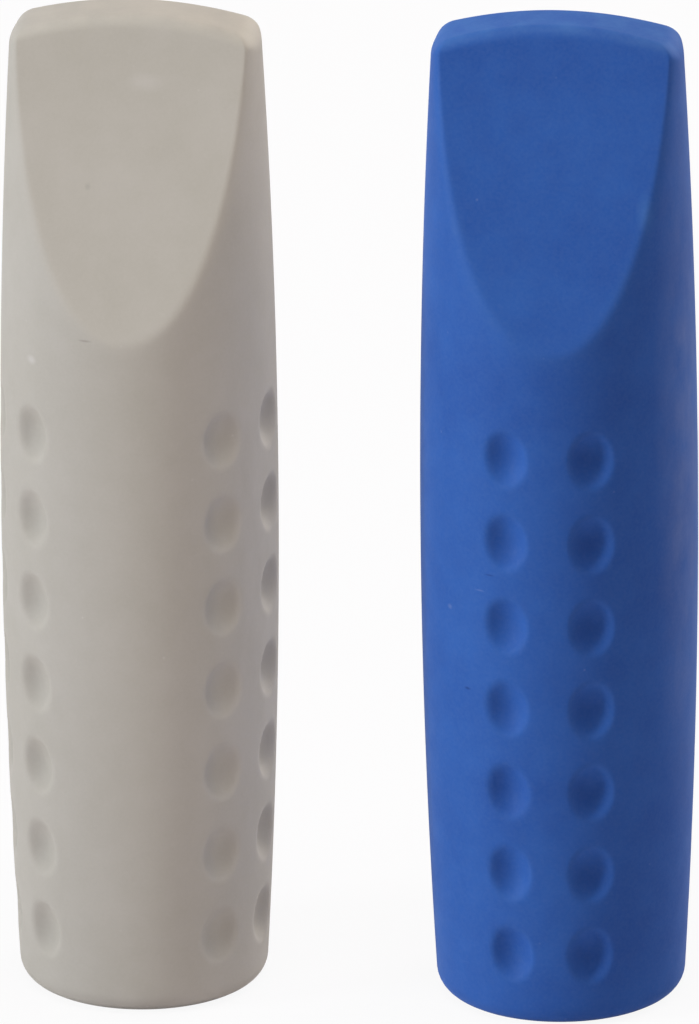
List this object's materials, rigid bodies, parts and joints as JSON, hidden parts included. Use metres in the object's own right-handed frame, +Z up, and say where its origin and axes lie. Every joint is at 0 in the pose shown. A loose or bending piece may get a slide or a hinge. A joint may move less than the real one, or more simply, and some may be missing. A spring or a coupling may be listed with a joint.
{
  "type": "pencil eraser topper",
  "caption": "Barrel-shaped rubber eraser topper with a wedge tip, dimpled grip and blind bore that pushes onto a pencil's end, in grey and in blue, standing side by side.",
  "frame": {"origin": "midway between the two toppers, on the surface that they stand on", "axes": "+Z up along both bores, towards the wedge tips; +X from the grey topper to the blue one; -Y towards the viewer, across the tips' facets"},
  "size_m": [0.0302, 0.012, 0.0445],
  "materials": {
    "grey_rubber": "matte",
    "blue_rubber": "matte"
  },
  "bodies": {
    "grey": {"grey_topper": "grey_rubber"},
    "blue": {"blue_topper": "blue_rubber"}
  },
  "joints": [
    {"name": "blue_topper_lift", "type": "slide", "parent": "grey", "child": "blue", "axis": [0, 0, 1], "range_m": [0, 0.05]}
  ]
}
